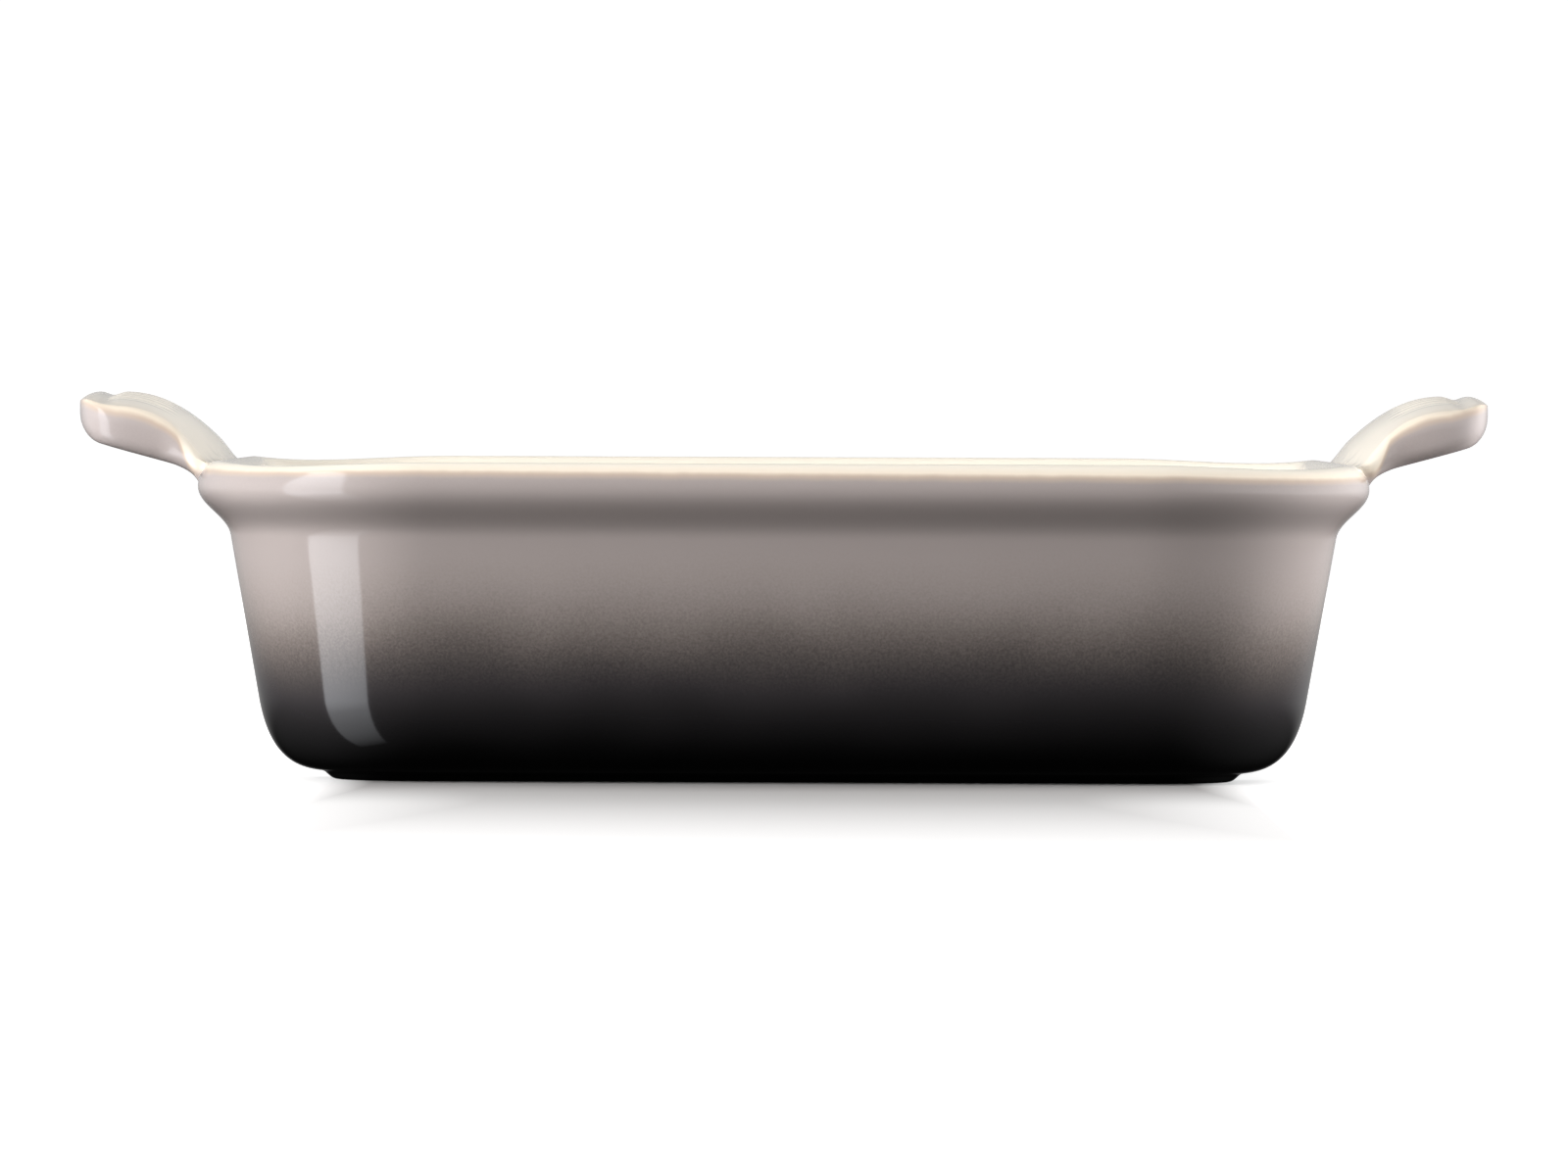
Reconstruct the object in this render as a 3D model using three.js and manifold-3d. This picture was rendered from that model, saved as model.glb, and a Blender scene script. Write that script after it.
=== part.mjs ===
// Square baking dish in glazed stoneware. A coved basin with drafted walls and a rolled rim stands
// on a low foot ring, and a broad tab handle is luted onto the rim at the left and at the right.
// Millimetres, +Z up. The origin is the middle of the face that the dish stands on, +X runs towards
// the right handle and -Y towards the front.
import * as THREE from 'three';
import { mergeVertices } from 'three/addons/utils/BufferGeometryUtils.js';
import Module from 'manifold-3d';

// The rim, measured at the middle of a side
const rimWidth = 240; // over the widest part of the rim, the same both ways
const rimHeight = 65; // from the table to the crest of the rim
const rimCornerRadius = 48; // in plan, at the widest part
const rimCornerDip = 0.9; // how far the rim falls away round each corner
const crestInset = 4.7; // from the widest part in to the crest
const crestDrop = 5.2; // from the crest down to the widest part
const lipInset = 2.8; // from the crest in to the inner face of the rim
const lipDrop = 3.5; // from the crest down to the inner face of the rim

// The wall and the floor
const neckInset = 6.9; // the wall stands this far inside the widest part of the rim
const neckDrop = 16; // from the crest down to the top of the straight wall
const neckEase = 4.5; // how far the wall and the rim run on before the neck bends them
const wallDraft = THREE.MathUtils.degToRad(10); // the walls lean out towards the rim
const wallThickness = 6.8;
const floorThickness = 7;
const outerCoveRadius = 13.5; // between the wall and the underside
const innerCoveRadius = 18; // between the wall and the floor
const baseCornerRadius = 21; // in plan, where the wall has curved under to the flat underside

// The foot ring
const footHeight = 1.7; // the underside stands this far above the table
const footInset = 0.8; // from the edge of the flat underside in to the ring
const footWidth = 11; // across the ring where it joins the underside
const footRound = 2.6; // how far the rounded edges of the ring reach in

// The handles
const handleReach = 27.7; // from the widest part of the rim out to the tip
const handleRise = 14; // from the crest of the rim up to the highest line of the grip
const gripReach = 18.5; // from the widest part of the rim out to that line
const gripWidth = 90; // between the parallel sides of the handle
const gripThickness = 8.6; // at the sides, under the highest line
const gripCrown = 3.4; // the middle of the grip stands this far above its sides
const tipCrown = 1.9; // the same at the tip
const gripHollow = 1.5; // the middle of the underside is hollowed by this much
const gripSlope = THREE.MathUtils.degToRad(15); // the underside climbs towards the tip
const rootWidth = 124; // along the rim, over both flares
const rootLapWidth = 60; // along the rim, where the root laps over the crest
const rootLap = 0.8; // the root laps this far over the crest, towards the inside
const rootCrown = 8.6; // the middle of the root stands this far above its ends
const rootSlope = THREE.MathUtils.degToRad(50); // the top leaves the rim at this angle
const rootFillet = 7.4; // radius between the rim and the underside of the handle
const rootEndRise = 2; // the ends of that fillet stand this far above its middle
const flareReach = 10.2; // the flare ends this far outside the widest part of the rim
const tipSquareness = 3.5; // exponent of the tip's outline: 2 is an ellipse, more is squarer
const tipWidth = 16; // the straight end of the tip
const grooveDepth = 0.7; // of the groove that sets the raised tip off from the grip
const grooveWidth = 6;
const upperEdgeRound = 2; // along the sides of the grip
const lowerEdgeRound = 3;
const upperTipRound = 2.6; // over the tip
const lowerTipRound = 4.6;
const upperEdgeShare = 0.35; // the most of a side's height that a rounded edge takes up
const lowerEdgeShare = 0.6;
const slipGap = 0.3; // the thickness of the slip that joins a handle to the rim

// How finely round shapes are divided
const corners = 4;
const cornerSteps = 8;
const curveSteps = 4;
const flareSteps = 6;
const tipSteps = 10;
const edgeSteps = 2;
const acrossSteps = 8;

// Sizes that follow from the ones above
const rimHalf = rimWidth / 2;
const crestHalf = rimHalf - crestInset;
const crestBase = rimHeight - crestDrop;
const lipBase = rimHeight - lipDrop;
const neckHalf = rimHalf - neckInset;
const neckHeight = rimHeight - neckDrop;
const floorHeight = footHeight + floorThickness;
const innerWallOffset = wallThickness / Math.cos(wallDraft);
const undersideHalf = coveCentre(footHeight, outerCoveRadius, 0);
const tipX = rimHalf + handleReach;
const gripX = rimHalf + gripReach;
const flareX = rimHalf + flareReach;
const flareStart = (rimHalf + crestHalf) / 2; // the flares run on into the rim before they are cut to it
const flareRun = flareX - flareStart;
const rootX = crestHalf - rootLap;
const gripTop = rimHeight + handleRise;
const up = new THREE.Vector3(0, 0, 1);

const wasm = await Module();
wasm.setup();

// Half width of the wall at a height, on its outer face or a given distance inside it
function wallHalf(height, inside) {
  return neckHalf - (neckHeight - height) * Math.tan(wallDraft) - inside;
}

// Half width at which a cove that leaves the wall reaches a level face
function coveCentre(level, radius, inside) {
  return wallHalf(level + radius, inside) - radius / Math.cos(wallDraft);
}

// Section of the outside, from the edge of the flat underside up to the crest of the rim.
// In every section x is the half width of the dish and y is the height.
function outerSection() {
  const section = new THREE.Path();
  section.absarc(undersideHalf, footHeight + outerCoveRadius, outerCoveRadius, -Math.PI / 2, -wallDraft);
  section.lineTo(neckHalf, neckHeight);
  section.bezierCurveTo(
    neckHalf + neckEase * Math.sin(wallDraft), neckHeight + neckEase * Math.cos(wallDraft),
    rimHalf, crestBase - neckEase,
    rimHalf, crestBase,
  );
  section.absellipse(crestHalf, crestBase, crestInset, crestDrop, 0, Math.PI / 2);
  return section.getPoints(curveSteps);
}

// Section of the inside, from the crest of the rim down to the edge of the flat floor
function innerSection() {
  const lipHalf = crestHalf - lipInset;
  const innerNeckHalf = wallHalf(neckHeight, innerWallOffset);
  const floorHalf = coveCentre(floorHeight, innerCoveRadius, innerWallOffset);
  const section = new THREE.Path();
  section.absellipse(crestHalf, lipBase, lipInset, lipDrop, Math.PI / 2, Math.PI);
  section.bezierCurveTo(
    lipHalf, lipBase - neckEase,
    innerNeckHalf + neckEase * Math.sin(wallDraft), neckHeight + neckEase * Math.cos(wallDraft),
    innerNeckHalf, neckHeight,
  );
  section.absarc(floorHalf, floorHeight + innerCoveRadius, innerCoveRadius, -wallDraft, -Math.PI / 2, true);
  return section.getPoints(curveSteps);
}

// Section of the foot ring, a closed loop with its top on the underside of the basin
function footSection() {
  const outer = undersideHalf - footInset;
  const inner = outer - footWidth;
  const section = new THREE.Path();
  section.absellipse(inner + footRound, footHeight, footRound, footHeight, Math.PI, Math.PI * 1.5);
  section.absellipse(outer - footRound, footHeight, footRound, footHeight, -Math.PI / 2, 0);
  return section.getPoints(curveSteps);
}

// A section moved outwards, square to itself, by a distance
function offsetSection(section, distance) {
  return section.map((point, i) => {
    const before = section[Math.max(i - 1, 0)];
    const after = section[Math.min(i + 1, section.length - 1)];
    const along = after.clone().sub(before).normalize();
    return new THREE.Vector2(point.x + along.y * distance, point.y - along.x * distance);
  });
}

// Plan radius of the corners where the dish has a half width
function cornerRadius(half) {
  const narrowing = (rimHalf - half) / (rimHalf - undersideHalf);
  return THREE.MathUtils.lerp(rimCornerRadius, baseCornerRadius, narrowing);
}

// The square with rounded corners that one point of a section draws round the dish
function planLoop({ x: half, y: height }) {
  const radius = cornerRadius(half);
  const dip = rimCornerDip * THREE.MathUtils.clamp((height - neckHeight) / neckDrop, 0, 1);
  const loop = [];
  for (let corner = 0; corner < corners; corner += 1) {
    const start = corner * Math.PI / 2;
    const centre = new THREE.Vector3(half - radius, half - radius, height);
    centre.applyAxisAngle(up, start);
    for (let step = 0; step <= cornerSteps; step += 1) {
      const turn = step / cornerSteps * Math.PI / 2;
      const point = centre.clone();
      point.x += radius * Math.cos(start + turn);
      point.y += radius * Math.sin(start + turn);
      point.z -= dip * Math.sin(2 * turn) ** 2;
      loop.push(point);
    }
  }
  return loop;
}

// A closed skin over loops of equally many points. The loops either come back to the first one, or
// end in a fan at each end.
function skin(loops, endless) {
  const count = loops[0].length;
  const points = loops.flat();
  const faces = [];
  const bands = endless ? loops.length : loops.length - 1;
  for (let i = 0; i < bands; i += 1) {
    const low = i * count;
    const high = (i + 1) % loops.length * count;
    for (let j = 0; j < count; j += 1) {
      const next = (j + 1) % count;
      faces.push(low + j, low + next, high + next);
      faces.push(low + j, high + next, high + j);
    }
  }
  if (!endless) {
    const last = (loops.length - 1) * count;
    const firstMiddle = points.push(middleOf(loops[0])) - 1;
    const lastMiddle = points.push(middleOf(loops.at(-1))) - 1;
    for (let j = 0; j < count; j += 1) {
      const next = (j + 1) % count;
      faces.push(firstMiddle, next, j);
      faces.push(lastMiddle, last + j, last + next);
    }
  }
  const geometry = new THREE.BufferGeometry().setFromPoints(points);
  geometry.setIndex(faces);
  return geometry;
}

function middleOf(loop) {
  const middle = new THREE.Vector3();
  loop.forEach((point) => middle.add(point));
  return middle.divideScalar(loop.length);
}

// Height of the middle of a handle's top. It climbs from inside the crest of the rim, levels out at
// the grip and dips into the groove before the tip.
function topLine(x) {
  const run = gripX - rootX;
  const share = THREE.MathUtils.clamp((x - rootX) / run, 0, 1);
  const start = rimHeight - rootLap;
  const steep = run * Math.tan(rootSlope) * share * (1 - share) ** 2;
  const climb = (gripTop - start) * share ** 2 * (3 - 2 * share);
  const across = THREE.MathUtils.clamp((x - gripX) / grooveWidth, 0, 1);
  return start + climb + steep - grooveDepth * Math.sin(across * Math.PI) ** 2;
}

// How far the sides of a handle fall below the middle of its top
function crown(x) {
  const toTip = THREE.MathUtils.clamp((x - gripX) / (tipX - gripX), 0, 1);
  return gripCrown + (rootCrown - gripCrown) * flareShare(x) ** 2 + (tipCrown - gripCrown) * toTip;
}

// How far along a flare a place is, from 0 where the flare leaves the grip to 1 inside the rim
function flareShare(x) {
  return THREE.MathUtils.clamp((flareX - x) / flareRun, 0, 1);
}

// How far along the fillet under the root a place is, from 0 at the grip to 1 at the rim
function filletShare(x) {
  return THREE.MathUtils.clamp((rimHalf + rootFillet - x) / rootFillet, 0, 1);
}

// What a quarter round has taken off at a share of its radius
function roundOff(radius, share) {
  return radius * (1 - Math.sqrt(1 - share ** 2));
}

// What the rounded edge over the end of the tip takes off the top or the underside
function tipRoundOff(x, wanted, most) {
  const tipHeight = gripTop - sideLine(tipX);
  const radius = Math.min(wanted, tipHeight * most);
  return roundOff(radius, THREE.MathUtils.clamp((x - tipX + radius) / radius, 0, 1));
}

// Height of the sides of a handle's underside before anything is rounded
function sideLine(x) {
  return gripTop - gripCrown - gripThickness + (x - gripX) * Math.tan(gripSlope);
}

// Half width of a handle over its flares and between its parallel sides
function sideHalf(x) {
  return gripWidth / 2 + roundOff((rootWidth - gripWidth) / 2, flareShare(x));
}

// Half width of a handle's outline, which narrows over the rim and round the tip
function outlineHalf(x) {
  const toLap = THREE.MathUtils.clamp((flareStart - x) / (flareStart - rootX), 0, 1);
  const toTip = THREE.MathUtils.clamp((x - flareX) / (tipX - flareX), 0, 1);
  const tipShare = 1 - (1 - toTip ** tipSquareness) ** (1 / tipSquareness);
  return sideHalf(x) - (rootWidth - rootLapWidth) / 2 * toLap - (gripWidth - tipWidth) / 2 * tipShare;
}

function handleTop(x, y) {
  return topLine(x) - crown(x) * (y / sideHalf(x)) ** 2 - tipRoundOff(x, upperTipRound, upperEdgeShare);
}

function handleUnder(x, y) {
  const toSide = (y / sideHalf(x)) ** 2;
  const toRim = filletShare(x);
  const hollow = gripHollow * (1 - toRim) * (1 - toSide);
  const fillet = roundOff(rootFillet, toRim) - rootEndRise * toRim ** 2 * toSide;
  return sideLine(x) + hollow - fillet + tipRoundOff(x, lowerTipRound, lowerEdgeShare);
}

// One face of a handle across its width, from the front side to the rear one, with the edge at each
// end rounded towards the side
function faceRow(x, height, wanted, most, towardsSide) {
  const half = outlineHalf(x);
  const side = handleTop(x, half) - handleUnder(x, half);
  const radius = Math.min(wanted, side * most);
  const flat = half - radius;
  const edge = [];
  for (let step = edgeSteps; step > 0; step -= 1) {
    const turn = step / edgeSteps * Math.PI / 2;
    const y = flat + radius * Math.sin(turn);
    edge.push(new THREE.Vector3(x, y, height(x, y) + towardsSide * radius * (1 - Math.cos(turn))));
  }
  const middle = [];
  for (let step = 0; step <= acrossSteps; step += 1) {
    const y = THREE.MathUtils.lerp(-flat, flat, step / acrossSteps);
    middle.push(new THREE.Vector3(x, y, height(x, y)));
  }
  const front = edge.map((point) => new THREE.Vector3(point.x, -point.y, point.z));
  return [...front, ...middle, ...edge.reverse()];
}

// Section across the right handle at a distance from the middle of the dish
function handleSection(x) {
  const under = faceRow(x, handleUnder, lowerEdgeRound, lowerEdgeShare, 1);
  const top = faceRow(x, handleTop, upperEdgeRound, upperEdgeShare, -1);
  return [...under, ...top.reverse()];
}

// The right handle before it is fitted to the rim
function handleBlank() {
  const places = [rootX];
  for (let step = 0; step <= flareSteps; step += 1) {
    places.push(flareX - flareRun * Math.cos(step / flareSteps * Math.PI / 2));
  }
  for (let step = 1; step <= tipSteps; step += 1) {
    places.push(flareX + (tipX - flareX) * Math.sin(step / tipSteps * Math.PI / 2));
  }
  return skin(places.map(handleSection), false);
}

// Solids for joining and cutting
function toSolid(geometry) {
  const merged = mergeVertices(geometry);
  const vertProperties = merged.attributes.position.array;
  const triVerts = Uint32Array.from(merged.index.array);
  return new wasm.Manifold(new wasm.Mesh({ numProp: 3, vertProperties, triVerts }));
}

function toGeometry(solid) {
  const { vertProperties, triVerts } = solid.getMesh();
  const geometry = new THREE.BufferGeometry();
  geometry.setAttribute('position', new THREE.BufferAttribute(vertProperties, 3));
  geometry.setIndex(new THREE.BufferAttribute(triVerts, 1));
  return geometry;
}

// The right handle with its seat cut to the rim, leaving room for the slip
function handleGeometry() {
  const rimSection = offsetSection(outerSection(), slipGap);
  const rimForm = skin(rimSection.map(planLoop), false);
  return toGeometry(toSolid(handleBlank()).subtract(toSolid(rimForm)));
}

function addPart(group, name, geometry, color, roughness) {
  geometry.computeVertexNormals();
  const material = new THREE.MeshStandardMaterial({ color, roughness, metalness: 0 });
  const mesh = new THREE.Mesh(geometry, material);
  mesh.name = name;
  group.add(mesh);
  return mesh;
}

const greyGlaze = 0x9a908e;
const bareClay = 0xcdb89c;
const glossy = 0.15;
const dull = 0.85;

const dish = new THREE.Group();
const basinSection = [...outerSection(), ...innerSection().slice(1)];
addPart(dish, 'basin', skin(basinSection.map(planLoop), false), greyGlaze, glossy);
addPart(dish, 'foot_ring', skin(footSection().map(planLoop), true), bareClay, dull);
addPart(dish, 'right_handle', handleGeometry(), greyGlaze, glossy);
addPart(dish, 'left_handle', handleGeometry(), greyGlaze, glossy).rotation.z = Math.PI;

export default dish;
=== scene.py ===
import math

import bmesh
import bpy
import numpy as np
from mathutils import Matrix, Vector


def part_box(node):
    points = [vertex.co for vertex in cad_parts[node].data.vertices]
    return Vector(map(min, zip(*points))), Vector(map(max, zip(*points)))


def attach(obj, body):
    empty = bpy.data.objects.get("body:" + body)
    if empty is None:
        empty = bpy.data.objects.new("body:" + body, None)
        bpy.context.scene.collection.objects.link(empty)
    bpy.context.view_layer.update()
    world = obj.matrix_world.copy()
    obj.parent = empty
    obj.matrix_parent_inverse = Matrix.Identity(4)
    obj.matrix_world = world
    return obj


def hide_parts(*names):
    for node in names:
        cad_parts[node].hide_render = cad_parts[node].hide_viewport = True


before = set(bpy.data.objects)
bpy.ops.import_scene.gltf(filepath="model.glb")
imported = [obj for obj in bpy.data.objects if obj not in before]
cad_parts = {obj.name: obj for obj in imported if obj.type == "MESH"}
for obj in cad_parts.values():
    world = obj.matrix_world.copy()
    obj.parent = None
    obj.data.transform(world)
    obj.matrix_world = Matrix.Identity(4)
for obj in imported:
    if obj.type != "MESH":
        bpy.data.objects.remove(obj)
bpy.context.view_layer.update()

mm = 0.001  # the dictionaries hold millimetres, Blender works in metres
hair = 0.01  # in millimetres, too little to see
scene = bpy.context.scene
scene.view_settings.view_transform = "Standard"


def hexColour(code):
    # screen values to linear light
    parts = [int(code[place:place + 2], 16) / 255 for place in (1, 3, 5)]
    return (*[part / 12.92 if part <= 0.04045 else ((part + 0.055) / 1.055) ** 2.4 for part in parts], 1)


def addNode(tree, kind, links=None, stops=(), **settings):
    node = tree.nodes.new(kind)
    for name, value in settings.items():
        setattr(node, name, value)
    for name, value in (links or {}).items():
        if isinstance(value, bpy.types.NodeSocket):
            tree.links.new(value, node.inputs[name])
        else:
            node.inputs[name].default_value = value
    if stops:
        ramp = node.color_ramp.elements
        ramp[0].position, ramp[1].position = stops[0][0], stops[-1][0]
        for place, colour in stops[1:-1]:
            ramp.new(place)
        for element, (place, colour) in zip(ramp, stops):
            element.color = colour
    return node


def emptyMaterial(name):
    material = bpy.data.materials.new(name)
    material.use_nodes = True
    material.node_tree.nodes.clear()
    return material, material.node_tree


# camera: level with the top of the handles, a long lens from the front
cameraView = {"distance": 2400, "height": 79.9, "lens": 260.8, "tilt": 1.0, "roll": -0.22}

cameraData = bpy.data.cameras.new("dishCamera")
cameraData.lens = cameraView["lens"]
dishCamera = bpy.data.objects.new("dishCamera", cameraData)
dishCamera.location = (0, -cameraView["distance"] * mm, cameraView["height"] * mm)
dishCamera.rotation_euler = (math.radians(90 - cameraView["tilt"]), math.radians(cameraView["roll"]), 0)
scene.collection.objects.link(dishCamera)
scene.camera = dishCamera
print("camera set")

# stage: a round white floor and a low white wall all round it
stageSize = {
    "floorRings": (0.5, 400, 1500, 4200), "wallCurve": 200, "wallHeight": 360, "steps": 96, "bends": 8,
}
paperLook = {
    "colour": "#adabaa", "bounce": "#4a4a4a", "glowFrom": 120, "glowTo": 600,
    "beside": [(83, 0), (89, 0.42), (93, 0.68), (100, 0.84), (118, 1)],  # distance to the side, glow
    "behind": (-86, -60, 0.9), "ahead": (-95, -228, 1.2), "outwards": (30, 100, 0.48),  # from, to, glow
}


def latheMesh(name, profile, steps):
    mesh = bmesh.new()
    rings = []
    turns = [2 * math.pi * step / steps for step in range(steps)]
    for radius, height in profile:
        spots = [(radius * math.cos(turn), radius * math.sin(turn), height) for turn in turns]
        rings.append([mesh.verts.new(spot) for spot in spots])
    for low, high in zip(rings, rings[1:]):
        for step in range(steps):
            after = (step + 1) % steps
            mesh.faces.new((low[step], high[step], high[after], low[after]))
    data = bpy.data.meshes.new(name)
    mesh.to_mesh(data)
    mesh.free()
    data.shade_smooth()
    piece = bpy.data.objects.new(name, data)
    scene.collection.objects.link(piece)
    return piece


# matt paper, white for the camera through a glow of painted light: the glow grows with distance from the
# dish, so the paper is painted darker close to it, on top of the lamps' real shadow of the dish
paper, tree = emptyMaterial("mattPaperPaintedGlow")
place = addNode(tree, "ShaderNodeTexCoord")
reach = addNode(tree, "ShaderNodeVectorMath", {0: place.outputs["Object"]}, operation="LENGTH")
glow = addNode(tree, "ShaderNodeMapRange", {
    "Value": reach.outputs["Value"],
    "From Min": paperLook["glowFrom"] * mm, "From Max": paperLook["glowTo"] * mm,
}).outputs["Result"]
# painted light: the glow paints the paper white beside and behind the dish, hiding the shadow there, so the
# shadow reads in front of it and narrows as it runs out
across = addNode(tree, "ShaderNodeSeparateXYZ", {0: place.outputs["Object"]})
aside = addNode(tree, "ShaderNodeMath", {0: across.outputs["X"]}, operation="ABSOLUTE").outputs["Value"]
farthest = paperLook["beside"][-1][0]
beside = addNode(tree, "ShaderNodeMapRange", {"Value": aside, "From Max": farthest * mm}).outputs["Result"]
beside = addNode(tree, "ShaderNodeValToRGB", {"Fac": beside}, stops=[
    (away / farthest, (level, level, level, 1)) for away, level in paperLook["beside"]
]).outputs["Color"]
glow = addNode(tree, "ShaderNodeMath", {0: glow, 1: beside}, operation="MAXIMUM").outputs["Value"]
fades = {}
for name, value in (("behind", across.outputs["Y"]), ("ahead", across.outputs["Y"]), ("outwards", aside)):
    start, end, level = paperLook[name]
    fades[name] = addNode(tree, "ShaderNodeMapRange", {
        "Value": value, "From Min": start * mm, "From Max": end * mm, "To Max": level,
    }, interpolation_type="SMOOTHSTEP").outputs["Result"]
narrow = addNode(tree, "ShaderNodeMath", {0: fades["ahead"], 1: fades["outwards"]}, operation="MULTIPLY")
for part in (fades["behind"], narrow.outputs["Value"]):
    glow = addNode(tree, "ShaderNodeMath", {0: glow, 1: part}, operation="MAXIMUM").outputs["Value"]
rays = addNode(tree, "ShaderNodeLightPath")
seen = addNode(tree, "ShaderNodeMath", {
    0: rays.outputs["Is Camera Ray"], 1: rays.outputs["Is Glossy Ray"],
}, operation="MAXIMUM")
seen = addNode(tree, "ShaderNodeMath", {
    0: seen.outputs["Value"], 1: rays.outputs["Is Transmission Ray"],
}, operation="MAXIMUM")
strength = addNode(tree, "ShaderNodeMath", {
    0: seen.outputs["Value"], 1: glow,
}, operation="MULTIPLY")
sheet = addNode(tree, "ShaderNodeMix", {
    "Factor": seen.outputs["Value"], 6: hexColour(paperLook["bounce"]), 7: hexColour(paperLook["colour"]),
}, data_type="RGBA")  # throws less light back up than it shows
matt = addNode(tree, "ShaderNodeBsdfDiffuse", {"Color": sheet.outputs[2]})
white = addNode(tree, "ShaderNodeEmission", {"Strength": strength.outputs["Value"]})
both = addNode(tree, "ShaderNodeAddShader", {0: matt.outputs["BSDF"], 1: white.outputs["Emission"]})
addNode(tree, "ShaderNodeOutputMaterial", {"Surface": both.outputs["Shader"]})

floorRings = [(radius, 0) for radius in stageSize["floorRings"]]
floorRadius, wallCurve = floorRings[-1][0], stageSize["wallCurve"]
wallBend = [
    (floorRadius + wallCurve * math.sin(turn), wallCurve * (1 - math.cos(turn)))
    for turn in np.radians(np.linspace(0, 90, stageSize["bends"] + 1))
]
wallBend.append((wallBend[-1][0], stageSize["wallHeight"]))
floor = latheMesh("floor", [(r * mm, z * mm) for r, z in floorRings], stageSize["steps"])
backdrop = latheMesh("backdrop", [(r * mm, z * mm) for r, z in wallBend], stageSize["steps"])
for piece in (floor, backdrop):
    piece.data.materials.append(paper)
    piece.visible_glossy = False  # the gloss mirrors the room instead, so the foot of the glaze stays black

# soft boxes and a low card at the right: place, point aimed at, width and height, watts
lamps = {
    "leftBox": {"at": (-828, -624, 360), "aim": (-91, -108, 360), "size": (550, 680), "watts": 11.2},
    "leftWall": {"at": (-1300, -600, 290), "aim": (0, 0, 290), "size": (1800, 540), "watts": 14.2},
    "rightCard": {"at": (1410, 150, 60), "aim": (0, 0, 60), "size": (1400, 120), "watts": 32},
    "topBox": {"at": (0, -250, 1600), "aim": (0, 0, 0), "size": (2000, 2000), "watts": 10.5},
    "rightBox": {"at": (900, -100, 900), "aim": (0, 0, 60), "size": (800, 800), "watts": 5},
    "rearBox": {"at": (0, 1700, 1000), "aim": (0, 0, 0), "size": (2400, 1000), "watts": 22},
}


def facing(place, aim):
    return (Vector(place) - Vector(aim)).to_track_quat("Z", "Y").to_euler()


for name, lamp in lamps.items():
    light = bpy.data.lights.new(name, "AREA")
    light.shape = "RECTANGLE"
    light.size, light.size_y = (side * mm for side in lamp["size"])
    light.energy = lamp["watts"]
    softBox = bpy.data.objects.new(name, light)
    softBox.location = [part * mm for part in lamp["at"]]
    softBox.rotation_euler = facing(lamp["at"], lamp["aim"])
    softBox.visible_camera = False
    softBox.visible_glossy = False
    scene.collection.objects.link(softBox)

# the front of the left box, which the gloss mirrors as a long window that dies away downwards
windowLook = {
    "at": (-867, -563, 580), "aim": (-91, -108, 580), "size": (550, 4040), "colour": "#f3f6fb", "level": 5.0,
    "levels": [(-1400, 0), (-1000, 0.15), (-540, 0.35), (-380, 0.48), (-265, 0.92), (-150, 0.74),
               (100, 0.62), (900, 1)],  # height, share of the level
    "lean": 190, "rows": 24,  # bows away to the left overhead
}
wide, tall = (side * mm / 2 for side in windowLook["size"])
windowMesh = bpy.data.meshes.new("boxWindow")
corners = []
for height in np.linspace(-tall, tall, windowLook["rows"] + 1):
    lean = windowLook["lean"] * mm * max(height + windowLook["at"][2] * mm, 0) ** 2
    corners += [(-wide - lean, height, 0), (wide - lean, height, 0)]
panes = [(row, row + 1, row + 3, row + 2) for row in range(0, 2 * windowLook["rows"], 2)]
windowMesh.from_pydata(corners, [], panes)
boxWindow = bpy.data.objects.new("boxWindow", windowMesh)
boxWindow.location = [part * mm for part in windowLook["at"]]
boxWindow.rotation_euler = facing(windowLook["at"], windowLook["aim"])
scene.collection.objects.link(boxWindow)
for ray in ("camera", "diffuse", "transmission", "volume_scatter", "shadow"):
    setattr(boxWindow, "visible_" + ray, False)
# lit cloth: a bluish white that is strongest overhead and dies away below the table
cloth, tree = emptyMaterial("litCloth")
place = addNode(tree, "ShaderNodeTexCoord").outputs["Object"]
height = addNode(tree, "ShaderNodeSeparateXYZ", {0: place}).outputs["Y"]
lowest, highest = (windowLook["levels"][end][0] for end in (0, -1))
middle = windowLook["at"][2]
level = addNode(tree, "ShaderNodeMapRange", {
    "Value": height, "From Min": (lowest - middle) * mm, "From Max": (highest - middle) * mm,
}).outputs["Result"]
level = addNode(tree, "ShaderNodeValToRGB", {"Fac": level}, stops=[
    ((spot - lowest) / (highest - lowest), (share, share, share, 1)) for spot, share in windowLook["levels"]
]).outputs["Color"]
level = addNode(tree, "ShaderNodeMath", {0: level, 1: windowLook["level"]}, operation="MULTIPLY")
shine = addNode(tree, "ShaderNodeEmission", {
    "Color": hexColour(windowLook["colour"]), "Strength": level.outputs["Value"],
})
addNode(tree, "ShaderNodeOutputMaterial", {"Surface": shine.outputs["Emission"]})
windowMesh.materials.append(cloth)

# the room that the gloss mirrors: pale side walls, a grey rear and a dark front.
# each wall: the way it lies, its level at table height, and the share of that underneath and overhead
roomLook = {
    "walls": {
        "left": {"axis": "X", "sign": -1, "level": 0.55, "underneath": 0.12, "overhead": 0.3},
        "right": {"axis": "X", "sign": 1, "level": 1.6, "underneath": 0.06, "overhead": 0.3},
        "rear": {"axis": "Y", "sign": 1, "level": 0.6, "underneath": 0.0, "overhead": 0.3},
    },
    "front": 0.006,
    "side": (0.2, 1.0), "underneath": (-0.25, 0.05), "overhead": (0.7, 0.15),  # where each begins and ends
}
room = bpy.data.worlds.new("room")
room.use_nodes = True
tree = room.node_tree
tree.nodes.clear()
towards = addNode(tree, "ShaderNodeTexCoord").outputs["Generated"]
towards = addNode(tree, "ShaderNodeSeparateXYZ", {0: towards}).outputs
glow = roomLook["front"]
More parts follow.
